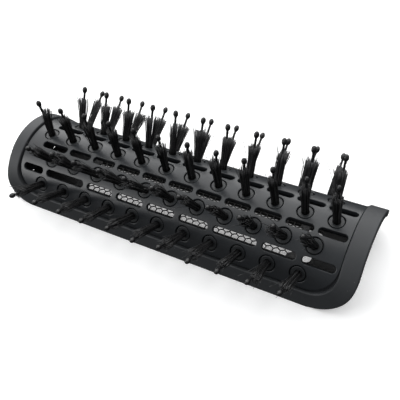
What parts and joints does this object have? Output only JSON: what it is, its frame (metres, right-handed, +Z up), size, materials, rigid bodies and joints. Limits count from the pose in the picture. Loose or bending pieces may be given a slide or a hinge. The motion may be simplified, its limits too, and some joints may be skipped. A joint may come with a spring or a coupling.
{
  "type": "hot-air styler bristle brush attachment",
  "caption": "Half-barrel bristle brush shell for a hot-air hair styler: slotted arched cover in a rim, bristle tufts with ball-tipped pins, honeycomb air inlet below.",
  "frame": {"origin": "middle of the underside, on the surface that the shell rests on", "axes": "+X along the barrel to the end with the wider band, -Y to the front, +Z up through the crest of the bristles"},
  "size_m": [0.134, 0.06, 0.0345],
  "materials": {
    "frame_plastic": "fine matte charcoal moulding",
    "cover_plastic": "glossy blue-grey black",
    "strip_plastic": "satin black moulding",
    "bristle_nylon": "black nylon filament",
    "pin_nylon": "black nylon with glossy ball tips",
    "base_plastic": "matte black moulding",
    "mesh_metal": "thin blackened steel sheet",
    "screw_steel": "zinc-plated steel",
    "anchor_metal": "flat drawn staple wire"
  },
  "bodies": {
    "root": {"ball_pins_1": "pin_nylon", "ball_pins_2": "pin_nylon", "ball_pins_3": "pin_nylon", "ball_pins_4": "pin_nylon", "ball_pins_5": "pin_nylon", "base_frame": "base_plastic", "base_screws": "screw_steel", "bristle_strip_1": "strip_plastic", "bristle_strip_2": "strip_plastic", "bristle_strip_3": "strip_plastic", "bristle_strip_4": "strip_plastic", "bristle_strip_5": "strip_plastic", "bristle_tufts_1": "bristle_nylon", "bristle_tufts_2": "bristle_nylon", "bristle_tufts_3": "bristle_nylon", "bristle_tufts_4": "bristle_nylon", "bristle_tufts_5": "bristle_nylon", "cover_plate": "cover_plastic", "honeycomb_grille": "mesh_metal", "outer_frame": "frame_plastic", "tuft_anchors_1": "anchor_metal", "tuft_anchors_2": "anchor_metal", "tuft_anchors_3": "anchor_metal", "tuft_anchors_4": "anchor_metal", "tuft_anchors_5": "anchor_metal"}
  },
  "joints": []
}
